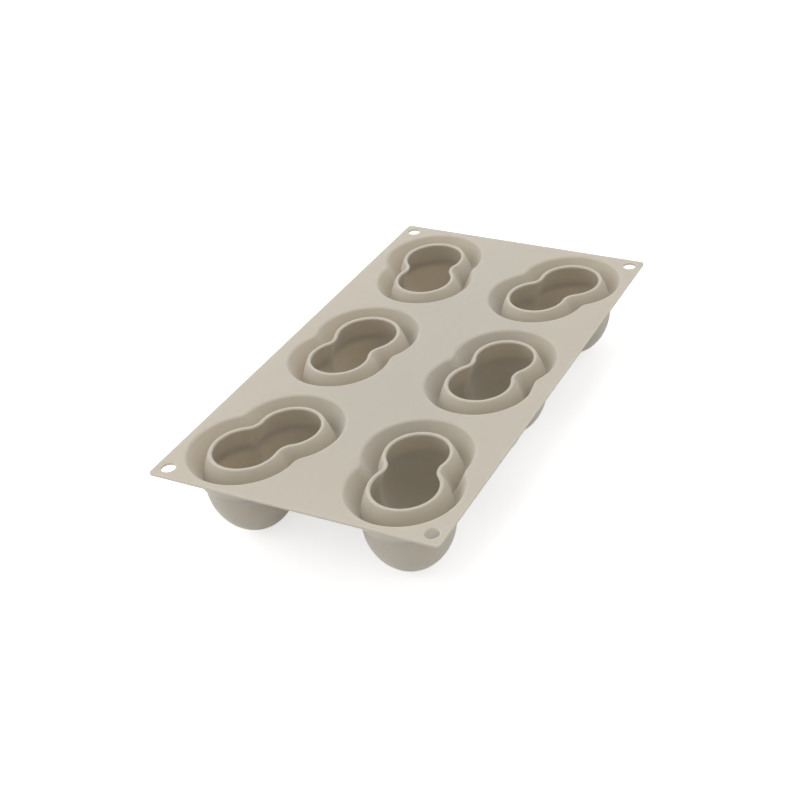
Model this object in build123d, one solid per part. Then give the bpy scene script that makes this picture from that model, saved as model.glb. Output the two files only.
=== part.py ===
from build123d import *
import math
import os

# Silicone cake mould: a thin flexible sheet with six figure-eight cups sunk into it.
# Millimetres, +Z up. The origin is the middle of the footprint, on the plane the bowls stand on.

# Rubber, the same thickness everywhere but at the rims
WALL = 1.6
RIM_WIDTH = 2.8
RIM_EDGE_RADIUS = 1.0

# Two balls that run into each other make one cup, a large one and a slightly smaller one.
# Three tangent arcs draw the outer face of a ball: a round foot, a flank up to the equator
# and a long shoulder that closes in above it.
BALL_RADIUS = 25.4
SIZE_STEP = 1.1
SMALL_RADIUS = BALL_RADIUS - SIZE_STEP
FOOT_INSET = 3.8
EQUATOR_RISE = 9.5
EQUATOR_Z = BALL_RADIUS - FOOT_INSET + EQUATOR_RISE
RIM_RISE = 20.9
TOP_Z = EQUATOR_Z + RIM_RISE
RIM_INSET = 5.3
MOUTH_INSET = RIM_INSET + RIM_WIDTH
MOUTH_OVERLAP = 4.8
LOBE_SPACING = BALL_RADIUS + SMALL_RADIUS - 2 * MOUTH_INSET - MOUTH_OVERLAP
WAIST_RADIUS = 7.5

# Moat round the upper half of each ball. Its outer wall leans out and rolls over into the
# sheet. Its outside starts at the ball's equator with a small arc. The distances are
# measured outward from the equator.
MOAT_WIDTH = 9.1
LEAN = math.radians(23.2)
WALL_ACROSS = WALL / math.cos(LEAN)
BLEND_RADIUS = 4.0
BLEND_TOP_Z = EQUATOR_Z + BLEND_RADIUS * math.sin(LEAN)
BLEND_TOP_OFFSET = BLEND_RADIUS * (1 - math.cos(LEAN))
MOAT_FLOOR_RISE = 6.2
MOAT_FLOOR_Z = EQUATOR_Z + MOAT_FLOOR_RISE
MOAT_TOP_OFFSET = BLEND_TOP_OFFSET + math.tan(LEAN) * (TOP_Z - BLEND_TOP_Z) - WALL_ACROSS
MOAT_WAIST_RADIUS = WAIST_RADIUS + WALL
ROLL_RADIUS = MOAT_WIDTH - MOAT_TOP_OFFSET

# Level at which the collar and the moat wall stand on the bowl
FLOOR_DEPTH = 2.0
JOIN_Z = MOAT_FLOOR_Z - FLOOR_DEPTH

# Flat sheet, two cells wide and three cells long
SHEET_THICKNESS = WALL
UNDERSIDE_Z = TOP_Z - SHEET_THICKNESS
CUP_GAP = 3.4
LEAN_ROOM = 19.6
CELL_LENGTH = LOBE_SPACING + BALL_RADIUS + SMALL_RADIUS + 2 * MOAT_WIDTH + CUP_GAP
CELL_WIDTH = BALL_RADIUS + SMALL_RADIUS + 2 * MOAT_WIDTH + LEAN_ROOM
SHEET_WIDTH = 2 * CELL_WIDTH
SHEET_LENGTH = 3 * CELL_LENGTH
SHEET_CORNER_RADIUS = 2.0
SHEET_EDGE_RADIUS = 0.2

# Hanging holes
HOLE_RADIUS = 4.1
HOLE_INSET = 7.7
HOLE_SPACING_X = SHEET_WIDTH - 2 * HOLE_INSET
HOLE_SPACING_Y = SHEET_LENGTH - 2 * HOLE_INSET

# Two cups that are each other half a turn about the middle of the sheet, the first one's
# centre in cells from the middle, and the direction from its smaller to its larger ball
TWINS = [
    ("near_left", "far_right", -0.498, -1.002, 243.7),
    ("near_right", "far_left", 0.522, -0.993, 283.9),
    ("mid_right", "mid_left", 0.526, 0.015, 263.7),
]


def moat_offset(z):
    return MOAT_TOP_OFFSET - math.tan(LEAN) * (TOP_Z - z)


def lower_profile(ball_radius, inset):
    foot_radius = ball_radius - FOOT_INSET
    rise = EQUATOR_Z - foot_radius
    flank_radius = (ball_radius**2 + rise**2 - foot_radius**2) / (2 * FOOT_INSET)
    flank_centre = (ball_radius - flank_radius, EQUATOR_Z)
    tangent_angle = math.degrees(math.atan2(rise, flank_radius - ball_radius))
    with BuildSketch(Plane.XZ) as sketch:
        with BuildLine():
            CenterArc((0, foot_radius), foot_radius - inset, -90, 90 - tangent_angle)
            CenterArc(flank_centre, flank_radius - inset, -tangent_angle, tangent_angle)
            Polyline((ball_radius - inset, EQUATOR_Z), (0, EQUATOR_Z), (0, inset))
        make_face()
    return sketch.sketch


def shoulder_profile(equator_radius, rim_radius):
    inset = equator_radius - rim_radius
    radius = (inset**2 + RIM_RISE**2) / (2 * inset)
    closing_angle = math.degrees(math.asin(RIM_RISE / radius))
    with BuildSketch(Plane.XZ) as sketch:
        with BuildLine():
            CenterArc((equator_radius - radius, EQUATOR_Z), radius, 0, closing_angle)
            Polyline((rim_radius, TOP_Z), (0, TOP_Z), (0, EQUATOR_Z), (equator_radius, EQUATOR_Z))
        make_face()
    return sketch.sketch


def outside_profile(ball_radius):
    with BuildSketch(Plane.XZ) as sketch:
        with BuildLine():
            CenterArc((ball_radius + BLEND_RADIUS, EQUATOR_Z), BLEND_RADIUS, 180, -math.degrees(LEAN))
            Polyline(
                (ball_radius + BLEND_TOP_OFFSET, BLEND_TOP_Z),
                (ball_radius + moat_offset(UNDERSIDE_Z) + WALL_ACROSS, UNDERSIDE_Z),
                (0, UNDERSIDE_Z),
                (0, EQUATOR_Z),
                (ball_radius, EQUATOR_Z),
            )
        make_face()
    return sketch.sketch


def moat_profile(ball_radius):
    with BuildSketch(Plane.XZ) as sketch:
        with BuildLine():
            Polyline(
                (0, MOAT_FLOOR_Z),
                (ball_radius + moat_offset(MOAT_FLOOR_Z), MOAT_FLOOR_Z),
                (ball_radius + MOAT_TOP_OFFSET, TOP_Z),
                (0, TOP_Z),
                close=True,
            )
        make_face()
    return sketch.sketch


def plate_profile(ball_radius):
    radius = ball_radius + MOAT_WIDTH
    with BuildSketch(Plane.XZ) as sketch:
        with Locations((radius / 2, (UNDERSIDE_Z + TOP_Z) / 2)):
            Rectangle(radius, SHEET_THICKNESS)
    return sketch.sketch


def lobe_pair(large_profile, small_profile, waist_radius):
    large = Pos(LOBE_SPACING / 2, 0, 0) * revolve(large_profile, Axis.Z, 360)
    small = Pos(-LOBE_SPACING / 2, 0, 0) * Rot(0, 0, 180) * revolve(small_profile, Axis.Z, 360)
    pair = large + small
    crease = [
        edge
        for edge in pair.edges()
        if abs(edge.center().X) < 2 * SIZE_STEP and edge.bounding_box().size.X < 2 * SIZE_STEP
    ]
    return pair.fillet(waist_radius, crease)


def slab(low, high):
    side = 3 * LOBE_SPACING + 2 * BALL_RADIUS
    return Pos(0, 0, (low + high) / 2) * Box(side, side, high - low)


def inner_edges(face):
    return [edge for wire in face.inner_wires() for edge in wire.edges()]


# Skins of a cup, from the outside in. Each ball is made as two halves that meet at the equator.
outside = lobe_pair(lower_profile(BALL_RADIUS, 0), lower_profile(SMALL_RADIUS, 0), WAIST_RADIUS)
outside = outside + lobe_pair(outside_profile(BALL_RADIUS), outside_profile(SMALL_RADIUS), WAIST_RADIUS)
plate = lobe_pair(plate_profile(BALL_RADIUS), plate_profile(SMALL_RADIUS), MOAT_WAIST_RADIUS - ROLL_RADIUS)
moat = lobe_pair(moat_profile(BALL_RADIUS), moat_profile(SMALL_RADIUS), MOAT_WAIST_RADIUS)
shoulder = lobe_pair(
    shoulder_profile(BALL_RADIUS, BALL_RADIUS - RIM_INSET),
    shoulder_profile(SMALL_RADIUS, SMALL_RADIUS - RIM_INSET),
    WAIST_RADIUS,
)
hollow = lobe_pair(lower_profile(BALL_RADIUS, WALL), lower_profile(SMALL_RADIUS, WALL), WAIST_RADIUS + WALL)
hollow = hollow + lobe_pair(
    shoulder_profile(BALL_RADIUS - WALL, BALL_RADIUS - MOUTH_INSET),
    shoulder_profile(SMALL_RADIUS - WALL, SMALL_RADIUS - MOUTH_INSET),
    WAIST_RADIUS + WALL,
)

# Bowl: everything below the joining level
bowl = (outside & slab(0, JOIN_Z)) - hollow

# Collar: the upper half of the ball, closing in to a thicker rounded rim level with the sheet
collar = (shoulder & slab(JOIN_Z, TOP_Z)) - hollow
collar = collar.fillet(RIM_EDGE_RADIUS, collar.faces().sort_by(Axis.Z)[-1].edges())

# Moat wall: floor and leaning wall of the channel round the collar, rolled over at the top
moat_wall = (outside & slab(JOIN_Z, UNDERSIDE_Z)) + plate - moat - shoulder
moat_wall = moat_wall.fillet(ROLL_RADIUS, inner_edges(moat_wall.faces().sort_by(Axis.Z)[-1]))
underside = [
    face
    for face in moat_wall.faces()
    if abs(face.center().Z - UNDERSIDE_Z) < 0.01 and abs(face.normal_at().Z) > 0.99
]
moat_wall = moat_wall.fillet(ROLL_RADIUS - WALL, inner_edges(underside[0]))


def placed(solid, cells_x, cells_y, angle):
    return Pos(cells_x * CELL_WIDTH, cells_y * CELL_LENGTH, 0) * Rot(0, 0, angle) * solid


cups = []
for name, twin, cells_x, cells_y, angle in TWINS:
    cups.append((name, cells_x, cells_y, angle))
    cups.append((twin, -cells_x, -cells_y, angle + 180))

# Flange sheet: one flat plate with a figure-eight opening for every cup
sheet = Pos(0, 0, (UNDERSIDE_Z + TOP_Z) / 2) * Box(SHEET_WIDTH, SHEET_LENGTH, SHEET_THICKNESS)
sheet = sheet.fillet(SHEET_CORNER_RADIUS, sheet.edges().filter_by(Axis.Z))
border = sheet.faces().sort_by(Axis.Z)[-1].edges() + sheet.faces().sort_by(Axis.Z)[0].edges()
sheet = sheet.fillet(SHEET_EDGE_RADIUS, border)
for name, cells_x, cells_y, angle in cups:
    sheet = sheet - placed(plate, cells_x, cells_y, angle)
for x in (-HOLE_SPACING_X / 2, HOLE_SPACING_X / 2):
    for y in (-HOLE_SPACING_Y / 2, HOLE_SPACING_Y / 2):
        sheet = sheet - Pos(x, y, TOP_Z) * Cylinder(HOLE_RADIUS, 4 * SHEET_THICKNESS)

# One file for each piece
os.makedirs("parts", exist_ok=True)
export_step(sheet, "parts/flange_sheet.step")
for name, cells_x, cells_y, angle in cups:
    export_step(placed(moat_wall, cells_x, cells_y, angle), f"parts/moat_wall_{name}.step")
    export_step(placed(collar, cells_x, cells_y, angle), f"parts/collar_{name}.step")
    export_step(placed(bowl, cells_x, cells_y, angle), f"parts/bowl_{name}.step")
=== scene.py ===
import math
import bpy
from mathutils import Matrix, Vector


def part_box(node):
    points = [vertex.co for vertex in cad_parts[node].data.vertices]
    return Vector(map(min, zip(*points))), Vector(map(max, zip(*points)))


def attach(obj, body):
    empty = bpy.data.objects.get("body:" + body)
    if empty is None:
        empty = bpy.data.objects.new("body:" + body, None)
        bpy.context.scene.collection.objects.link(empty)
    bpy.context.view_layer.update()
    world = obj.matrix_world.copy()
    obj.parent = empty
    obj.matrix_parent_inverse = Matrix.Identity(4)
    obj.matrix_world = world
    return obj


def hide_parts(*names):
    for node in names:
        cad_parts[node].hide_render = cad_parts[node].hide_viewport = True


bl_info = {
    "name": "Silicone cake mold",
    "version": (1, 0, 0),
    "blender": (4, 5, 0),
    "location": "View3D > Sidebar > Cake mold",
    "description": "Builds a silicone baking sheet with six peanut-shaped cups, and its studio",
    "category": "Mesh",
}

import bmesh
import bpy
from mathutils import Vector

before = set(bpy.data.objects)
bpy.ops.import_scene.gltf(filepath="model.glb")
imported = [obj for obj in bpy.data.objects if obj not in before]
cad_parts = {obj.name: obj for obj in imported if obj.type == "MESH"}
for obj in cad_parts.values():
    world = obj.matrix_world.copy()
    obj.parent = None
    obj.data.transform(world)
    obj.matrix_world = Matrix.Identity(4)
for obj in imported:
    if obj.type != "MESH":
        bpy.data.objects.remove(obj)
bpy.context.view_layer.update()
SHEET_LOW, SHEET_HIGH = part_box("flange_sheet")

# Direction from the smaller to the larger ball of each cup, in degrees
CUP_TURNS = {
    "far_left": 103.9,
    "far_right": 63.7,
    "mid_left": 83.7,
    "mid_right": 263.7,
    "near_left": 243.7,
    "near_right": 283.9,
}

# Steps along the half section, which decide how finely each stretch is drawn
FOOT_STEPS = 22
SADDLE_STEPS = 16
FLANK_STEPS = 22
COLLAR_STEPS = 26
RIM_OUTER_STEPS = 7
RIM_INNER_STEPS = 10
HOLLOW_STEPS = 28
BLEND_STEPS = 6
ROLL_STEPS = 14
UNDER_ROLL_STEPS = 8
MOAT_WALL_STEPS = 12
GUTTER_STEPS = 5

# Steps round the sheet's corners, its holes and their edges
CORNER_STEPS = 8
HOLE_STEPS = 64
EDGE_STEPS = 5

LEVEL_TOLERANCE = 1e-6
WELD_DISTANCE = 0.000002
LEAST_FACES = 1000


def linear(code):
    """A hex sRGB colour as linear red, green, blue and alpha."""
    channels = [int(code[i:i + 2], 16) / 255 for i in (1, 3, 5)]
    return [c / 12.92 if c <= 0.04045 else ((c + 0.055) / 1.055) ** 2.4 for c in channels] + [1.0]


class SheetSizes(bpy.types.PropertyGroup):
    """Sizes of the flat sheet that carries the cups."""

    width: bpy.props.FloatProperty(
        name="Width", description="Short side of the sheet", unit="LENGTH",
        default=SHEET_HIGH.x - SHEET_LOW.x)
    length: bpy.props.FloatProperty(
        name="Length", description="Long side of the sheet", unit="LENGTH",
        default=SHEET_HIGH.y - SHEET_LOW.y)
    top: bpy.props.FloatProperty(
        name="Top level", description="Height of the sheet's upper face", unit="LENGTH",
        default=SHEET_HIGH.z)
    underside: bpy.props.FloatProperty(
        name="Underside level", description="Height of the sheet's lower face", unit="LENGTH",
        default=SHEET_LOW.z)
    flat_margin: bpy.props.FloatProperty(
        name="Flat margin", description="Width of the flat band that begins inside a rounded edge",
        unit="LENGTH", default=0.0003)
    corner_radius: bpy.props.FloatProperty(
        name="Corner radius", description="Rounding of the sheet's four corners in plan",
        unit="LENGTH", default=0.002)
    edge_radius: bpy.props.FloatProperty(
        name="Edge radius", description="Rounding along the sheet's upper and lower outer edges",
        unit="LENGTH", default=0.0002)
    hole_radius: bpy.props.FloatProperty(
        name="Hole radius", description="Radius of each corner hole", unit="LENGTH", default=0.0041)
    hole_inset: bpy.props.FloatProperty(
        name="Hole inset", description="Distance from a hole's centre to the two nearest edges",
        unit="LENGTH", default=0.0077)
    hole_edge_radius: bpy.props.FloatProperty(
        name="Hole edge radius", description="Rounding along the edges of the corner holes",
        unit="LENGTH", default=0.00015)


class CupSizes(bpy.types.PropertyGroup):
    """Sizes of a cup, which is two balls run together, with a moat round its collar."""

    spacing: bpy.props.FloatProperty(
        name="Ball spacing", description="Distance between the axes of the two balls of a cup",
        unit="LENGTH", default=0.0287)
    size_step: bpy.props.FloatProperty(
        name="Size step", description="Difference between the radii of the larger and the smaller ball",
        unit="LENGTH", default=0.0011)
    step_reach: bpy.props.FloatProperty(
        name="Step reach", description="Distance from the waist's plane over which the step comes in",
        unit="LENGTH", default=0.006)
    wall: bpy.props.FloatProperty(
        name="Wall", description="Thickness of the rubber", unit="LENGTH", default=0.0016)
    ball_radius: bpy.props.FloatProperty(
        name="Ball radius", description="Outer radius at the equator, the mean of the two balls",
        unit="LENGTH", default=0.02485)
    equator: bpy.props.FloatProperty(
        name="Equator level", description="Height of the widest part of a ball",
        unit="LENGTH", default=0.0311)
    foot_radius: bpy.props.FloatProperty(
        name="Foot radius", description="Radius of the round bottom of a ball, the mean of the two",
        unit="LENGTH", default=0.02105)
    rim_radius: bpy.props.FloatProperty(
        name="Rim radius", description="Outer radius of the rim, the mean of the two balls",
        unit="LENGTH", default=0.01955)
    rim_width: bpy.props.FloatProperty(
        name="Rim width", description="Thickness of the rubber at the rim",
        unit="LENGTH", default=0.0028)
    rim_edge: bpy.props.FloatProperty(
        name="Rim edge radius", description="Rounding of the rim's two edges",
        unit="LENGTH", default=0.001)
    moat_floor: bpy.props.FloatProperty(
        name="Moat floor level", description="Height of the bottom of the moat",
        unit="LENGTH", default=0.0373)
    gutter_radius: bpy.props.FloatProperty(
        name="Gutter radius", description="Rounding where the moat's wall meets its floor",
        unit="LENGTH", default=0.0005)
    gutter_share: bpy.props.FloatProperty(
        name="Gutter share", description="Part of the moat's floor, from the collar, that rises to it",
        subtype="FACTOR", default=0.35)
    join: bpy.props.FloatProperty(
        name="Join level", description="Height at which the moat's wall stands on the bowl",
        unit="LENGTH", default=0.0353)
    lean: bpy.props.FloatProperty(
        name="Moat lean", description="Lean of the moat's outer wall from the vertical",
        subtype="ANGLE", default=math.radians(23.2))
    blend_radius: bpy.props.FloatProperty(
        name="Blend radius", description="Arc between the moat's outside and the ball's equator",
        unit="LENGTH", default=0.004)
    opening_radius: bpy.props.FloatProperty(
        name="Opening radius", description="Radius where the flat sheet ends, the mean of the two balls",
        unit="LENGTH", default=0.03395)
    waist: bpy.props.FloatProperty(
        name="Waist radius", description="Rounding of the waist on the outer faces",
        unit="LENGTH", default=0.0075)
    waist_hollow: bpy.props.FloatProperty(
        name="Waist radius inside", description="Rounding of the waist deep inside the cup",
        unit="LENGTH", default=0.0060)
    round_steps: bpy.props.IntProperty(
        name="Steps round a ball", description="Faces round half a ball, up to the waist", default=44)
    waist_steps: bpy.props.IntProperty(
        name="Steps across the waist", description="Faces across half the waist", default=10)


class SiliconeColours(bpy.types.PropertyGroup):
    """Colours of the rubber and of the studio floor."""

    rubber: bpy.props.FloatVectorProperty(
        name="Rubber", description="Main colour of the silicone", subtype="COLOR", size=4,
        default=linear("#CCC5B8"))
    rubber_deep: bpy.props.FloatVectorProperty(
        name="Rubber, deep", description="Colour of the silicone where more pigment has settled",
        subtype="COLOR", size=4, default=linear("#C7BFB1"))
    floor: bpy.props.FloatVectorProperty(
        name="Floor", description="Colour of the studio floor", subtype="COLOR", size=4,
        default=linear("#DEDEDE"))


class StudioSizes(bpy.types.PropertyGroup):
    """Place of the camera and of the lights, and their strength."""

    camera_place: bpy.props.FloatVectorProperty(
        name="Camera place", description="Position of the camera", subtype="TRANSLATION",
        default=(0.34502, -0.56944, 0.47423))
    camera_turn: bpy.props.FloatVectorProperty(
        name="Camera turn", description="Rotation of the camera", subtype="EULER",
        default=(0.964055, 0.053741, 0.408990))
    lens: bpy.props.FloatProperty(
        name="Lens", description="Focal length of the camera in millimetres", default=59.2)
    shift: bpy.props.FloatProperty(
        name="Shift", description="Sideways shift of the picture frame", default=-0.1678)
    key_place: bpy.props.FloatVectorProperty(
        name="Key light place", description="Position of the soft light above the mold",
        subtype="TRANSLATION", default=(0.05, 0.25, 1.30))
    key_size: bpy.props.FloatProperty(
        name="Key light size", description="Side of the soft light above the mold", unit="LENGTH",
        default=0.7)
    key_power: bpy.props.FloatProperty(
        name="Key light", description="Power of the soft light above the mold", unit="POWER",
        default=3.9)
    fill_place: bpy.props.FloatVectorProperty(
        name="Fill light place", description="Position of the soft light at the side",
        subtype="TRANSLATION", default=(-0.9, -0.5, 0.7))
    fill_size: bpy.props.FloatProperty(
        name="Fill light size", description="Side of the soft light at the side", unit="LENGTH",
        default=0.8)
    fill_power: bpy.props.FloatProperty(
        name="Fill light", description="Power of the soft light at the side", unit="POWER",
        default=3.0)
    room_light: bpy.props.FloatProperty(
        name="Room light", description="Strength of the even light from all round", default=0.61)
    floor_reach: bpy.props.FloatProperty(
        name="Floor reach", description="Distance from the middle of the floor to its edges",
        unit="LENGTH", default=6.0)
    floor_glow: bpy.props.FloatProperty(
        name="Floor glow", description="Light that only the camera sees on the floor, to make it white",
        default=0.65)


def add(tree, kind, links=None, **settings):
    """Adds a node, sets its settings, and links or sets its inputs."""
    node = tree.nodes.new(kind)
    for name, value in settings.items():
        setattr(node, name, value)
    for key, value in (links or {}).items():
        if isinstance(value, bpy.types.Node):
            value = value.outputs[0]
        if isinstance(value, bpy.types.NodeSocket):
            tree.links.new(value, node.inputs[key])
        else:
            node.inputs[key].default_value = value
    return node


def silicone_rubber():
    """Moulded platinum silicone rubber, pigmented taupe.

    The steel mould is bead-blasted, so the rubber has a satin skin with no sharp highlight and a pale,
    dusty bloom at a low angle. Light spreads a few millimetres inside it before it comes back, which
    softens thin edges. The sheet is never quite flat, so its faint sheen wanders.
    """
    name = "moulded platinum silicone rubber"
    if name in bpy.data.materials:
        return bpy.data.materials[name]
    colours = bpy.context.scene.mold_colours
    material = bpy.data.materials.new(name)
    material.use_nodes = True
    tree = material.node_tree
    tree.nodes.clear()
    place = add(tree, "ShaderNodeTexCoord").outputs["Object"]
    # Pigment drifts slowly over 60 mm
    drift = add(tree, "ShaderNodeTexNoise", {"Vector": place, "Scale": 1 / 0.06, "Detail": 3.0,
                                             "Roughness": 0.55})
    colour = add(tree, "ShaderNodeMix", {"Factor": drift.outputs["Fac"], "A": colours.rubber_deep,
                                         "B": colours.rubber}, data_type="RGBA")
    tint = [s for s in colour.outputs if s.type == "RGBA"][0]
    # Handling marks, about 12 mm across, vary the satin a little
    marks = add(tree, "ShaderNodeTexNoise", {"Vector": place, "Scale": 1 / 0.012, "Detail": 4.0})
    satin = add(tree, "ShaderNodeMapRange", {"Value": marks.outputs["Fac"], "From Min": 0.3,
                                             "From Max": 0.7, "To Min": 0.46, "To Max": 0.56})
    # Blasted grain, really 0.1 mm, drawn at 0.35 mm so that it shows
    grain = add(tree, "ShaderNodeTexNoise", {"Vector": place, "Scale": 1 / 0.00035, "Detail": 2.0})
    # Slack in the thin rubber, 35 mm from wave to wave
    slack = add(tree, "ShaderNodeTexNoise", {"Vector": place, "Scale": 1 / 0.035, "Detail": 1.0})
    waves = add(tree, "ShaderNodeBump", {"Height": slack.outputs["Fac"], "Strength": 0.35,
                                         "Distance": 0.0006})
    skin = add(tree, "ShaderNodeBump", {"Height": grain.outputs["Fac"], "Strength": 0.12,
                                        "Distance": 0.00006, "Normal": waves})
    surface = add(tree, "ShaderNodeBsdfPrincipled", {
        "Base Color": tint, "Roughness": satin, "Normal": skin, "IOR": 1.41,
        "Subsurface Weight": 0.8, "Subsurface Scale": 0.005})
    surface.inputs["Subsurface Radius"].default_value = (1.0, 0.9, 0.8)
    surface.inputs["Sheen Weight"].default_value = 0.35
    surface.inputs["Sheen Roughness"].default_value = 0.5
    add(tree, "ShaderNodeOutputMaterial", {"Surface": surface})
    return material


def studio_floor():
    """Matt white paper: it takes the mold's soft shadow and is white to the camera elsewhere."""
    colours = bpy.context.scene.mold_colours
    glow_strength = bpy.context.scene.mold_studio.floor_glow
    material = bpy.data.materials.new("matt white paper")
    material.use_nodes = True
    tree = material.node_tree
    tree.nodes.clear()
    path = add(tree, "ShaderNodeLightPath")
    paper = add(tree, "ShaderNodeBsdfDiffuse", {"Color": colours.floor})
    glow = add(tree, "ShaderNodeEmission", {"Color": (1.0, 1.0, 1.0, 1.0), "Strength": glow_strength})
    lit = add(tree, "ShaderNodeAddShader", {0: paper, 1: glow})
    seen = add(tree, "ShaderNodeMath",
               {0: path.outputs["Is Camera Ray"], 1: path.outputs["Is Glossy Ray"]}, operation="MAXIMUM")
    seen = add(tree, "ShaderNodeMath", {0: seen, 1: path.outputs["Is Transmission Ray"]},
               operation="MAXIMUM")
    both = add(tree, "ShaderNodeMixShader", {0: seen, 1: paper, 2: lit})
    add(tree, "ShaderNodeOutputMaterial", {"Surface": both})
    return material


def arc(centre, radius, start, stop, steps):
    """Points on an arc in the plane of radius and height, from one angle to another."""
    return [
        (centre[0] + radius * math.cos(start + (stop - start) * i / steps),
         centre[1] + radius * math.sin(start + (stop - start) * i / steps))
        for i in range(steps + 1)
    ]


def line(start, stop, steps):
    """Points on a straight line."""
    return [
        (start[0] + (stop[0] - start[0]) * i / steps, start[1] + (stop[1] - start[1]) * i / steps)
        for i in range(steps + 1)
    ]


def outside_radius(cup, z):
    """Radius of the moat's outer face at a height."""
    rise = z - cup.equator
    return cup.ball_radius + cup.blend_radius * (1 - 1 / math.cos(cup.lean)) + math.tan(cup.lean) * rise


def moat_radius(cup, z):
    """Radius of the moat's inner face at a height."""
    return outside_radius(cup, z) - cup.wall / math.cos(cup.lean)


def shoulder(cup, top, equator_radius, rim_radius):
    """Centre and radius of the arc that closes in from the equator to the rim."""
    inset = equator_radius - rim_radius
    radius = (inset ** 2 + (top - cup.equator) ** 2) / (2 * inset)
    return (equator_radius - radius, cup.equator), radius


def collar_radius(cup, top, z):
    """Outer radius of the collar at a height."""
    centre, radius = shoulder(cup, top, cup.ball_radius, cup.rim_radius)
    return centre[0] + math.sqrt(radius ** 2 - (z - cup.equator) ** 2)


def level_rows(points, waist):
    """Rows whose waist ball lies level with them: radius, height, and the waist ball's centre."""
    return [(r, z, r + waist, z) for r, z in points]


def ball_rows(cup, inset, waist):
    """Rows of the lower half of a ball from its pole up to its equator."""
    rise = cup.equator - cup.foot_radius
    foot_inset = cup.ball_radius - cup.foot_radius
    flank_radius = (cup.ball_radius ** 2 + rise ** 2 - cup.foot_radius ** 2) / (2 * foot_inset)
    foot_centre = (0.0, cup.foot_radius)
    flank_centre = (cup.ball_radius - flank_radius, cup.equator)
    tangent = math.atan2(-rise, flank_radius - cup.ball_radius)
    # The waist begins where its ball, rolled round the foot, comes to the plane between the balls
    saddle = -math.acos(cup.spacing / 2 / (cup.foot_radius - inset + waist))
    rows = []
    for centre, radius, start, stop, steps in (
        (foot_centre, cup.foot_radius, -math.pi / 2, saddle, FOOT_STEPS),
        (foot_centre, cup.foot_radius, saddle, tangent, SADDLE_STEPS),
        (flank_centre, flank_radius, tangent, 0.0, FLANK_STEPS),
    ):
        near = arc(centre, radius - inset, start, stop, steps)
        far = arc(centre, radius - inset + waist, start, stop, steps)
        rows += [(*p, *q) for p, q in zip(near, far)][(1 if rows else 0):]
    rows[0] = (0.0, rows[0][1], rows[0][2], rows[0][3])
    return rows


def cup_rows(cup, top):
    """Closed half section of a collar with its bowl, starting where the moat's wall stands."""
    rows = level_rows([(outside_radius(cup, cup.join), cup.join)], cup.waist)

    # Collar, outer face
    centre, radius = shoulder(cup, top, cup.ball_radius, cup.rim_radius)
    edge = cup.rim_edge
    low = math.asin((cup.join - cup.equator) / radius)
    high = math.asin((top - edge - cup.equator) / (radius - edge))
    rows += level_rows(arc(centre, radius, low, high, COLLAR_STEPS), cup.waist)

    # Rim, rounded on both sides, with its waist running from the outer rounding to the inner one
    mouth = cup.rim_radius - cup.rim_width
    inner_centre, inner_radius = shoulder(cup, top, cup.ball_radius - cup.wall, mouth)
    inner_high = math.asin((top - edge - cup.equator) / (inner_radius + edge))
    outer_edge = (centre[0] + (radius - edge) * math.cos(high), top - edge)
    inner_edge = (inner_centre[0] + (inner_radius + edge) * math.cos(inner_high), top - edge)
    rim = arc(outer_edge, edge, high, math.pi / 2, RIM_OUTER_STEPS)[1:]
    rim += arc(inner_edge, edge, math.pi / 2, math.pi + inner_high, RIM_INNER_STEPS)
    first, last = rows[-1][0], rim[-1][0]
    waist_mouth = cup.waist + cup.rim_width
    for r, z in rim:
        share = (first - r) / (first - last)
        rows.append((r, z, r + cup.waist + (waist_mouth - cup.waist) * share, z))

    # Hollow, from the mouth down to the pole, with a waist that is tighter lower down
    for r, z in arc(inner_centre, inner_radius, inner_high, 0.0, HOLLOW_STEPS)[1:]:
        share = (z - cup.equator) / (top - cup.equator)
        rows.append((r, z, r + cup.waist_hollow + (waist_mouth - cup.waist_hollow) * share, z))
    rows += ball_rows(cup, cup.wall, cup.waist_hollow)[::-1][1:]

    # Outer face, from the pole up to the moat's wall
    rows += ball_rows(cup, 0.0, cup.waist)
    blend = arc((cup.ball_radius + cup.blend_radius, cup.equator), cup.blend_radius,
                math.pi, math.pi - cup.lean, BLEND_STEPS)
    climb = line(blend[-1], (outside_radius(cup, cup.join), cup.join), BLEND_STEPS)
    rows += level_rows(blend[1:] + climb[1:], cup.waist)
    return rows


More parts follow.
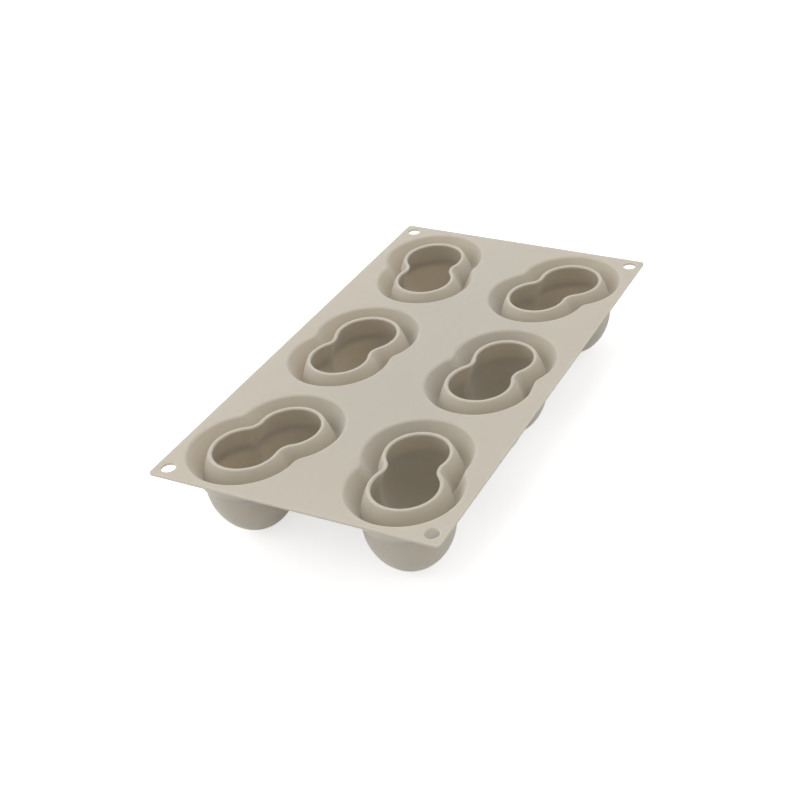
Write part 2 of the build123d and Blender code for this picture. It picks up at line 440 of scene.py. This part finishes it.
def moat_rows(cup, top):
    """Half section of a moat's wall, from the sheet down to the collar and back up outside."""
    waist = cup.waist + cup.wall
    roll = cup.opening_radius - moat_radius(cup, top)
    centre = (moat_radius(cup, top) + roll * math.tan(math.pi / 4 - cup.lean / 2), top - roll)
    inner = arc(centre, roll, math.pi / 2, math.pi - cup.lean, ROLL_STEPS)
    outer = arc(centre, roll - cup.wall, math.pi - cup.lean, math.pi / 2, UNDER_ROLL_STEPS)

    # Flat lip, roll and wall down to the small arc at the floor
    rows = [(cup.opening_radius, top, inner[-1][0] + waist, top)]
    rows += [(r, z, inner[-1][0] + waist, z) for r, z in inner]
    small = cup.gutter_radius
    low = cup.moat_floor + small
    corner = moat_radius(cup, low) - small / math.cos(cup.lean)
    foot = (corner + small * math.cos(cup.lean), low - small * math.sin(cup.lean))
    rows += level_rows(line(inner[-1], foot, MOAT_WALL_STEPS)[1:], waist)

    # Floor, a small gutter between the wall and the collar
    collar = collar_radius(cup, top, low)
    gutter = arc((corner, low), small, -cup.lean, -math.pi / 2, GUTTER_STEPS)[1:]
    gutter.append((collar + (corner - collar) * cup.gutter_share, low - small))
    gutter.append((collar, low - small / 2))
    gutter.append((collar_radius(cup, top, cup.join), cup.join))
    for r, z in gutter:
        share = max(0.0, min(1.0, (foot[0] - r) / (foot[0] - collar)))
        rows.append((r, z, r + waist + (cup.waist - waist) * share, z))

    # Outside, up to the flat underside
    join = (outside_radius(cup, cup.join), cup.join)
    rows += level_rows(line(join, outer[0], MOAT_WALL_STEPS), cup.waist)
    rows += [(r, z, outer[0][0] + cup.waist, z) for r, z in outer[1:]]
    rows.append((cup.opening_radius, top - cup.wall, outer[0][0] + cup.waist, top - cup.wall))
    return rows


def stepped(cup, x, y):
    """Moves a point outward on the larger ball and inward on the smaller one."""
    share = max(-1.0, min(1.0, x / cup.step_reach))
    share = share * (1.5 - 0.5 * share * share) * cup.size_step / 2
    arm_x = x - math.copysign(cup.spacing / 2, x)
    arm = math.hypot(arm_x, y)
    share *= min(1.0, arm / cup.rim_radius) / max(arm, 1e-6)
    return x + arm_x * share, y + y * share


def waisted_loop(cup, row, turn, centre):
    """One closed row of a cup as points, round both balls and across both sides of the waist."""
    r, z, waist_r, waist_z = row
    half = cup.spacing / 2
    meet = math.acos(max(-1.0, -half / waist_r))
    middle = math.sqrt(max(waist_r ** 2 - half ** 2, 0.0))
    quarter = [
        (half + r * math.cos(meet * i / cup.round_steps), r * math.sin(meet * i / cup.round_steps))
        for i in range(cup.round_steps + 1)
    ]
    swing = math.atan2(quarter[-1][0], middle - quarter[-1][1])
    waist = waist_r - r
    quarter += [
        (waist * math.sin(swing * (1 - i / cup.waist_steps)),
         middle - waist * math.cos(swing * (1 - i / cup.waist_steps)))
        for i in range(1, cup.waist_steps + 1)
    ]
    loop = quarter + [(-x, y) for x, y in quarter[-2::-1]]
    loop += [(x, -y) for x, y in loop[-2:0:-1]]
    loop = [stepped(cup, x, y) for x, y in loop]
    cos, sin = math.cos(turn), math.sin(turn)
    return [Vector((centre.x + x * cos - y * sin, centre.y + x * sin + y * cos, z)) for x, y in loop]


def cup_tree():
    """Geometry Nodes tree that carries a half section round both balls and across the waist."""
    name = "Cup from its half section"
    if name in bpy.data.node_groups:
        return bpy.data.node_groups[name]
    tree = bpy.data.node_groups.new(name, "GeometryNodeTree")
    face = tree.interface
    face.new_socket("Half section", in_out="INPUT", socket_type="NodeSocketGeometry")
    face.new_socket("Ball spacing", in_out="INPUT", socket_type="NodeSocketFloat")
    face.new_socket("Size step", in_out="INPUT", socket_type="NodeSocketFloat")
    face.new_socket("Step reach", in_out="INPUT", socket_type="NodeSocketFloat")
    face.new_socket("Full step radius", in_out="INPUT", socket_type="NodeSocketFloat")
    face.new_socket("Centre", in_out="INPUT", socket_type="NodeSocketVector")
    face.new_socket("Turn", in_out="INPUT", socket_type="NodeSocketFloat")
    face.new_socket("Steps round a ball", in_out="INPUT", socket_type="NodeSocketInt")
    face.new_socket("Steps across the waist", in_out="INPUT", socket_type="NodeSocketInt")
    face.new_socket("Material", in_out="INPUT", socket_type="NodeSocketMaterial")
    face.new_socket("Cup", in_out="OUTPUT", socket_type="NodeSocketGeometry")
    given = add(tree, "NodeGroupInput").outputs
    section = given["Half section"]
    round_steps = given["Steps round a ball"]
    waist_steps = given["Steps across the waist"]
    half = add(tree, "ShaderNodeMath", {0: given["Ball spacing"], 1: 0.5}, operation="MULTIPLY")

    # A grid with one line for each row of the section and one for each step round a quarter
    size = add(tree, "GeometryNodeAttributeDomainSize", {"Geometry": section}, component="MESH")
    steps = add(tree, "ShaderNodeMath", {0: round_steps, 1: waist_steps}, operation="ADD")
    columns = add(tree, "ShaderNodeMath", {0: steps, 1: 1.0}, operation="ADD")
    grid = add(tree, "GeometryNodeMeshGrid", {"Vertices X": size.outputs["Point Count"],
                                              "Vertices Y": columns})
    index = add(tree, "GeometryNodeInputIndex")
    centred = add(tree, "ShaderNodeMath", {0: index, 1: 0.5}, operation="ADD")
    share = add(tree, "ShaderNodeMath", {0: centred, 1: columns}, operation="DIVIDE")
    row = add(tree, "ShaderNodeMath", {0: share}, operation="FLOOR")
    passed = add(tree, "ShaderNodeMath", {0: row, 1: columns}, operation="MULTIPLY")
    column = add(tree, "ShaderNodeMath", {0: index, 1: passed}, operation="SUBTRACT")

    # Radius and height of the row, and the same for the ball that rounds the waist there
    spot = add(tree, "GeometryNodeInputPosition")
    point = add(tree, "GeometryNodeSampleIndex", {"Geometry": section, "Value": spot, "Index": row},
                data_type="FLOAT_VECTOR")
    waist_centre = add(tree, "GeometryNodeInputNamedAttribute", {"Name": "waist_centre"},
                       data_type="FLOAT_VECTOR")
    waist = add(tree, "GeometryNodeSampleIndex",
                {"Geometry": section, "Value": waist_centre, "Index": row}, data_type="FLOAT_VECTOR")
    point = add(tree, "ShaderNodeSeparateXYZ", {0: point}).outputs
    waist = add(tree, "ShaderNodeSeparateXYZ", {0: waist}).outputs

    # Angle round the ball at which the waist takes over
    safe = add(tree, "ShaderNodeMath", {0: waist["X"], 1: 0.0001}, operation="MAXIMUM")
    cosine = add(tree, "ShaderNodeMath", {0: half, 1: safe}, operation="DIVIDE")
    cosine = add(tree, "ShaderNodeMath", {0: cosine, 1: 1.0}, operation="MINIMUM")
    cosine = add(tree, "ShaderNodeMath", {0: cosine, 1: -1.0}, operation="MULTIPLY")
    meet = add(tree, "ShaderNodeMath", {0: cosine}, operation="ARCCOSINE")

    # On the ball
    along = add(tree, "ShaderNodeMath", {0: column, 1: round_steps}, operation="DIVIDE", use_clamp=True)
    angle = add(tree, "ShaderNodeMath", {0: along, 1: meet}, operation="MULTIPLY")
    ball_cos = add(tree, "ShaderNodeMath", {0: angle}, operation="COSINE")
    ball_sin = add(tree, "ShaderNodeMath", {0: angle}, operation="SINE")
    ball_x = add(tree, "ShaderNodeMath", {0: point["X"], 1: ball_cos, 2: half}, operation="MULTIPLY_ADD")
    ball_y = add(tree, "ShaderNodeMath", {0: point["X"], 1: ball_sin}, operation="MULTIPLY")
    on_ball = add(tree, "ShaderNodeCombineXYZ", {"X": ball_x, "Y": ball_y, "Z": point["Z"]})

    # Where ball and waist touch, seen from the centre of the waist's own ball
    meet_sin = add(tree, "ShaderNodeMath", {0: meet}, operation="SINE")
    touch_x = add(tree, "ShaderNodeMath", {0: point["X"], 1: cosine, 2: half}, operation="MULTIPLY_ADD")
    touch_y = add(tree, "ShaderNodeMath", {0: point["X"], 1: meet_sin}, operation="MULTIPLY")
    touch = add(tree, "ShaderNodeCombineXYZ", {"X": touch_x, "Y": touch_y, "Z": point["Z"]})
    waist_square = add(tree, "ShaderNodeMath", {0: waist["X"], 1: waist["X"]}, operation="MULTIPLY")
    half_square = add(tree, "ShaderNodeMath", {0: half, 1: half}, operation="MULTIPLY")
    gap = add(tree, "ShaderNodeMath", {0: waist_square, 1: half_square}, operation="SUBTRACT")
    gap = add(tree, "ShaderNodeMath", {0: gap, 1: 0.0}, operation="MAXIMUM")
    middle_y = add(tree, "ShaderNodeMath", {0: gap}, operation="SQRT")
    middle = add(tree, "ShaderNodeCombineXYZ", {"Y": middle_y, "Z": waist["Z"]})
    arm = add(tree, "ShaderNodeVectorMath", {0: touch, 1: middle}, operation="SUBTRACT")
    flat = add(tree, "ShaderNodeVectorMath", {0: arm, 1: (0.0, 1.0, 1.0)}, operation="MULTIPLY")
    arm_length = add(tree, "ShaderNodeVectorMath", {0: arm}, operation="LENGTH").outputs["Value"]
    flat_length = add(tree, "ShaderNodeVectorMath", {0: flat}, operation="LENGTH").outputs["Value"]
    arm_x = add(tree, "ShaderNodeSeparateXYZ", {0: arm}).outputs["X"]
    swing = add(tree, "ShaderNodeMath", {0: arm_x, 1: flat_length}, operation="ARCTAN2")

    # Across the waist, swinging from there to the plane between the balls
    over = add(tree, "ShaderNodeMath", {0: column, 1: round_steps}, operation="SUBTRACT")
    over = add(tree, "ShaderNodeMath", {0: over, 1: waist_steps}, operation="DIVIDE", use_clamp=True)
    left = add(tree, "ShaderNodeMath", {0: 1.0, 1: over}, operation="SUBTRACT")
    turn = add(tree, "ShaderNodeMath", {0: swing, 1: left}, operation="MULTIPLY")
    turn_cos = add(tree, "ShaderNodeMath", {0: turn}, operation="COSINE")
    turn_sin = add(tree, "ShaderNodeMath", {0: turn}, operation="SINE")
    flat_way = add(tree, "ShaderNodeVectorMath", {0: flat}, operation="NORMALIZE")
    flat_part = add(tree, "ShaderNodeVectorMath", {0: flat_way, "Scale": turn_cos}, operation="SCALE")
    side_part = add(tree, "ShaderNodeCombineXYZ", {"X": turn_sin})
    way = add(tree, "ShaderNodeVectorMath", {0: flat_part, 1: side_part}, operation="ADD")
    reach = add(tree, "ShaderNodeVectorMath", {0: way, "Scale": arm_length}, operation="SCALE")
    on_waist = add(tree, "ShaderNodeVectorMath", {0: middle, 1: reach}, operation="ADD")

    # Below the saddle the two balls are apart, and the waist shrinks to the touching point
    short = add(tree, "ShaderNodeMath", {0: half, 1: 0.000001}, operation="SUBTRACT")
    apart = add(tree, "ShaderNodeMath", {0: waist["X"], 1: short}, operation="LESS_THAN")
    on_waist = add(tree, "GeometryNodeSwitch", {"Switch": apart, "False": on_waist, "True": touch},
                   input_type="VECTOR")
    past = add(tree, "ShaderNodeMath", {0: column, 1: round_steps}, operation="GREATER_THAN")
    place = add(tree, "GeometryNodeSwitch", {"Switch": past, "False": on_ball, "True": on_waist},
                input_type="VECTOR")
    quarter = add(tree, "GeometryNodeSetPosition", {"Geometry": grid, "Position": place})

    # Four quarters, turned the right way out and welded
    across = add(tree, "GeometryNodeTransform", {"Geometry": quarter, "Scale": (-1.0, 1.0, 1.0)})
    across = add(tree, "GeometryNodeFlipFaces", {"Mesh": across})
    both = add(tree, "GeometryNodeJoinGeometry")
    tree.links.new(quarter.outputs[0], both.inputs[0])
    tree.links.new(across.outputs[0], both.inputs[0])
    back = add(tree, "GeometryNodeTransform", {"Geometry": both, "Scale": (1.0, -1.0, 1.0)})
    back = add(tree, "GeometryNodeFlipFaces", {"Mesh": back})
    whole = add(tree, "GeometryNodeJoinGeometry")
    tree.links.new(both.outputs[0], whole.inputs[0])
    tree.links.new(back.outputs[0], whole.inputs[0])
    welded = add(tree, "GeometryNodeMergeByDistance", {"Geometry": whole, "Distance": WELD_DISTANCE})

    # Outward on the larger ball and inward on the smaller one, with no step across the waist
    spot_x = add(tree, "ShaderNodeSeparateXYZ", {0: spot}).outputs["X"]
    near = add(tree, "ShaderNodeMath", {0: spot_x, 1: given["Step reach"]}, operation="DIVIDE")
    near = add(tree, "ShaderNodeClamp", {"Value": near, "Min": -1.0, "Max": 1.0})
    square = add(tree, "ShaderNodeMath", {0: near, 1: near}, operation="MULTIPLY")
    bend = add(tree, "ShaderNodeMath", {0: square, 1: -0.5, 2: 1.5}, operation="MULTIPLY_ADD")
    ease = add(tree, "ShaderNodeMath", {0: near, 1: bend}, operation="MULTIPLY")
    side = add(tree, "ShaderNodeMath", {0: spot_x}, operation="SIGN")
    axis_x = add(tree, "ShaderNodeMath", {0: side, 1: half}, operation="MULTIPLY")
    axis = add(tree, "ShaderNodeCombineXYZ", {"X": axis_x})
    from_axis = add(tree, "ShaderNodeVectorMath", {0: spot, 1: axis}, operation="SUBTRACT")
    level = (1.0, 1.0, 0.0)
    from_axis = add(tree, "ShaderNodeVectorMath", {0: from_axis, 1: level}, operation="MULTIPLY")
    out_way = add(tree, "ShaderNodeVectorMath", {0: from_axis}, operation="NORMALIZE")
    out_length = add(tree, "ShaderNodeVectorMath", {0: from_axis}, operation="LENGTH").outputs["Value"]
    fade = add(tree, "ShaderNodeMath", {0: out_length, 1: given["Full step radius"]}, operation="DIVIDE",
               use_clamp=True)
    half_step = add(tree, "ShaderNodeMath", {0: given["Size step"], 1: 0.5}, operation="MULTIPLY")
    amount = add(tree, "ShaderNodeMath", {0: ease, 1: half_step}, operation="MULTIPLY")
    amount = add(tree, "ShaderNodeMath", {0: amount, 1: fade}, operation="MULTIPLY")
    push = add(tree, "ShaderNodeVectorMath", {0: out_way, "Scale": amount}, operation="SCALE")
    uneven = add(tree, "GeometryNodeSetPosition", {"Geometry": welded, "Offset": push})

    heading = add(tree, "ShaderNodeCombineXYZ", {"Z": given["Turn"]})
    placed = add(tree, "GeometryNodeTransform", {"Geometry": uneven, "Translation": given["Centre"],
                                                 "Rotation": heading})
    smooth = add(tree, "GeometryNodeSetShadeSmooth", {"Geometry": placed})
    real = add(tree, "GeometryNodeRealizeInstances", {"Geometry": smooth})
    done = add(tree, "GeometryNodeSetMaterial", {"Geometry": real, "Material": given["Material"]})
    add(tree, "NodeGroupOutput", {"Cup": done})
    return tree


def cup_centre(cup, name):
    """Point midway between a cup's two balls, from the box of the solid that stands for its bowl."""
    low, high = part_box("bowl_" + name)
    turn = math.radians(CUP_TURNS[name])
    x = (low.x + high.x) / 2 - math.copysign(cup.size_step / 2, math.cos(turn))
    y = (low.y + high.y) / 2 - math.copysign(cup.size_step / 2, math.sin(turn))
    return Vector((x, y, 0.0))


def finish_mesh(mesh, levels, material):
    """Turns faces outwards, keeps flat fills flat and parts the shading at the given levels."""
    work = bmesh.new()
    work.from_mesh(mesh)
    bmesh.ops.recalc_face_normals(work, faces=work.faces)
    level_faces = set()
    for poly in work.faces:
        heights = [v.co.z for v in poly.verts]
        if max(heights) - min(heights) < LEVEL_TOLERANCE:
            level_faces.add(poly)
        poly.smooth = len(poly.verts) > 3 or poly not in level_faces
    for edge in work.edges:
        for level in levels:
            if all(abs(v.co.z - level) < LEVEL_TOLERANCE for v in edge.verts):
                edge.smooth = len({f in level_faces for f in edge.link_faces}) == 1
    work.to_mesh(mesh)
    work.free()
    mesh.materials.clear()
    mesh.materials.append(material)


class MakeCups(bpy.types.Operator):
    """Makes the six cups, each one shell of rubber from its rim down to its bowl"""

    bl_idname = "cake_mold.make_cups"
    bl_label = "Make cups"

    def execute(self, context):
        scene = context.scene
        cup = scene.mold_cup
        rows = cup_rows(cup, scene.mold_sheet.top)
        section = bpy.data.meshes.new("half section")
        section.from_pydata([(r, 0.0, z) for r, z, _, _ in rows],
                            [(i, i + 1) for i in range(len(rows) - 1)], [])
        centres = section.attributes.new("waist_centre", "FLOAT_VECTOR", "POINT")
        centres.data.foreach_set("vector", [c for _, _, r, z in rows for c in (r, 0.0, z)])
        tree = cup_tree()
        keys = {item.name: item.identifier for item in tree.interface.items_tree
                if item.in_out == "INPUT"}
        for name, turn in CUP_TURNS.items():
            carrier = bpy.data.objects.new("carrier_" + name, section)
            scene.collection.objects.link(carrier)
            modifier = carrier.modifiers.new("Cup", "NODES")
            modifier.node_group = tree
            modifier[keys["Ball spacing"]] = cup.spacing
            modifier[keys["Size step"]] = cup.size_step
            modifier[keys["Step reach"]] = cup.step_reach
            modifier[keys["Full step radius"]] = cup.rim_radius
            modifier[keys["Centre"]] = cup_centre(cup, name)
            modifier[keys["Turn"]] = math.radians(turn)
            modifier[keys["Steps round a ball"]] = cup.round_steps
            modifier[keys["Steps across the waist"]] = cup.waist_steps
            modifier[keys["Material"]] = silicone_rubber()
            context.view_layer.update()
            made = carrier.evaluated_get(context.evaluated_depsgraph_get())
            mesh = bpy.data.meshes.new_from_object(made)
            bpy.data.objects.remove(carrier)
            if len(mesh.polygons) < LEAST_FACES:
                raise RuntimeError("the cup's tree made no surface")
            finish_mesh(mesh, [cup.join], silicone_rubber())
            piece = bpy.data.objects.new("cup_" + name, mesh)
            scene.collection.objects.link(piece)
            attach(piece, "root")
            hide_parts("collar_" + name, "bowl_" + name)
        return {"FINISHED"}


def round_loop(x, y, radius, z, steps):
    """A circle of points."""
    angles = [math.tau * i / steps for i in range(steps)]
    return [Vector((x + radius * math.cos(a), y + radius * math.sin(a), z)) for a in angles]


def sheet_loop(sheet, inset, z):
    """The sheet's outline, drawn in by an inset, with its four rounded corners."""
    radius = sheet.corner_radius - inset
    points = []
    for corner, (sx, sy) in enumerate(((1, 1), (-1, 1), (-1, -1), (1, -1))):
        x = sx * (sheet.width / 2 - sheet.corner_radius)
        y = sy * (sheet.length / 2 - sheet.corner_radius)
        for i in range(CORNER_STEPS + 1):
            angle = math.pi / 2 * (corner + i / CORNER_STEPS)
            points.append(Vector((x + radius * math.cos(angle), y + radius * math.sin(angle), z)))
    return points


def edge_levels(sheet, radius):
    """Set-back and height down a rounded edge, from the upper face to the lower one."""
    upper = [(radius * (1 - math.sin(a)), sheet.top - radius * (1 - math.cos(a)))
             for a in (math.pi / 2 * i / EDGE_STEPS for i in range(EDGE_STEPS + 1))]
    lower = [(s, sheet.underside + sheet.top - z) for s, z in reversed(upper)]
    margin = radius + sheet.flat_margin
    return [(margin, sheet.top)] + upper + lower + [(margin, sheet.underside)]


class MakeSheet(bpy.types.Operator):
    """Makes the flat sheet, the moats that roll down from it and its four corner holes"""

    bl_idname = "cake_mold.make_sheet"
    bl_label = "Make sheet"

    def execute(self, context):
        scene = context.scene
        cup = scene.mold_cup
        sheet = scene.mold_sheet
        work = bmesh.new()
        upper, lower = [], []

        def strip(loops):
            """Joins loops of equal count into a band and keeps its first and last edge."""
            bands = [[work.verts.new(p) for p in loop] for loop in loops]
            for one, two in zip(bands, bands[1:]):
                for i in range(len(one)):
                    j = (i + 1) % len(one)
                    work.faces.new((one[i], one[j], two[j], two[i]))
            for band, rim in ((bands[0], upper), (bands[-1], lower)):
                rim += [work.edges.get((band[i], band[(i + 1) % len(band)])) for i in range(len(band))]

        strip([sheet_loop(sheet, s, z) for s, z in edge_levels(sheet, sheet.edge_radius)])

        reach_x = sheet.width / 2 - sheet.hole_inset
        reach_y = sheet.length / 2 - sheet.hole_inset
        for x in (-reach_x, reach_x):
            for y in (-reach_y, reach_y):
                strip([round_loop(x, y, sheet.hole_radius + s, z, HOLE_STEPS)
                       for s, z in edge_levels(sheet, sheet.hole_edge_radius)])

        rows = moat_rows(cup, sheet.top)
        for name, turn in CUP_TURNS.items():
            centre = cup_centre(cup, name)
            strip([waisted_loop(cup, row, math.radians(turn), centre) for row in rows])

        bmesh.ops.triangle_fill(work, edges=upper, use_beauty=True, normal=(0.0, 0.0, 1.0))
        bmesh.ops.triangle_fill(work, edges=lower, use_beauty=True, normal=(0.0, 0.0, 1.0))
        mesh = bpy.data.meshes.new("flange_sheet_skin")
        work.to_mesh(mesh)
        work.free()
        finish_mesh(mesh, [cup.join], silicone_rubber())
        piece = bpy.data.objects.new("sheet", mesh)
        scene.collection.objects.link(piece)
        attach(piece, "root")
        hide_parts("flange_sheet", *("moat_wall_" + name for name in CUP_TURNS))
        return {"FINISHED"}


class MakeStudio(bpy.types.Operator):
    """Makes the white floor, the soft lights and the camera"""

    bl_idname = "cake_mold.make_studio"
    bl_label = "Make studio"

    def execute(self, context):
        scene = context.scene
        studio = scene.mold_studio

        mesh = bpy.data.meshes.new("floor")
        reach = studio.floor_reach
        corners = [(-reach, -reach, 0), (reach, -reach, 0), (reach, reach, 0), (-reach, reach, 0)]
        mesh.from_pydata(corners, [], [(0, 1, 2, 3)])
        mesh.materials.append(studio_floor())
        floor = bpy.data.objects.new("floor", mesh)
        scene.collection.objects.link(floor)

        for name, power, size, spot in (
            ("key light", studio.key_power, studio.key_size, studio.key_place),
            ("fill light", studio.fill_power, studio.fill_size, studio.fill_place),
        ):
            lamp = bpy.data.lights.new(name, "AREA")
            lamp.shape = "SQUARE"
            lamp.size = size
            lamp.energy = power
            light = bpy.data.objects.new(name, lamp)
            light.location = spot
            light.rotation_euler = Vector(spot).to_track_quat("Z", "Y").to_euler()
            scene.collection.objects.link(light)

        world = bpy.data.worlds.new("white room")
        scene.world = world
        world.use_nodes = True
        tree = world.node_tree
        tree.nodes.clear()
        path = add(tree, "ShaderNodeLightPath")
        strength = add(tree, "ShaderNodeMapRange", {"Value": path.outputs["Is Camera Ray"],
                                                    "To Min": studio.room_light, "To Max": 1.0})
        room = add(tree, "ShaderNodeBackground", {"Color": (1.0, 1.0, 1.0, 1.0), "Strength": strength})
        add(tree, "ShaderNodeOutputWorld", {"Surface": room})

        lens = bpy.data.cameras.new("camera")
        lens.sensor_width = 36.0
        lens.lens = studio.lens
        lens.shift_x = studio.shift
        lens.clip_start = 0.01
        lens.clip_end = 50.0
        camera = bpy.data.objects.new("camera", lens)
        camera.location = studio.camera_place
        camera.rotation_euler = studio.camera_turn
        scene.collection.objects.link(camera)
        scene.camera = camera
        scene.view_settings.view_transform = "Standard"
        return {"FINISHED"}


class CakeMoldPanel(bpy.types.Panel):
    """Lists the mold's pieces and their sizes"""

    bl_idname = "VIEW3D_PT_cake_mold"
    bl_label = "Cake mold"
    bl_space_type = "VIEW_3D"
    bl_region_type = "UI"
    bl_category = "Cake mold"

    def draw(self, context):
        scene = context.scene
        for title, group, operator in (
            ("Sheet", scene.mold_sheet, MakeSheet),
            ("Cups", scene.mold_cup, MakeCups),
            ("Colours", scene.mold_colours, None),
            ("Studio", scene.mold_studio, MakeStudio),
        ):
            box = self.layout.box()
            box.label(text=title)
            for name in group.__annotations__:
                box.prop(group, name)
            if operator:
                box.operator(operator.bl_idname)


CLASSES = (
    SheetSizes,
    CupSizes,
    SiliconeColours,
    StudioSizes,
    MakeSheet,
    MakeCups,
    MakeStudio,
    CakeMoldPanel,
)


def register():
    for cls in CLASSES:
        bpy.utils.register_class(cls)
    bpy.types.Scene.mold_sheet = bpy.props.PointerProperty(type=SheetSizes)
    bpy.types.Scene.mold_cup = bpy.props.PointerProperty(type=CupSizes)
    bpy.types.Scene.mold_colours = bpy.props.PointerProperty(type=SiliconeColours)
    bpy.types.Scene.mold_studio = bpy.props.PointerProperty(type=StudioSizes)


def unregister():
    del bpy.types.Scene.mold_studio
    del bpy.types.Scene.mold_colours
    del bpy.types.Scene.mold_cup
    del bpy.types.Scene.mold_sheet
    for cls in reversed(CLASSES):
        bpy.utils.unregister_class(cls)


def main():
    register()
    bpy.ops.cake_mold.make_sheet()
    bpy.ops.cake_mold.make_cups()
    bpy.ops.cake_mold.make_studio()


if __name__ == "__main__":
    main()
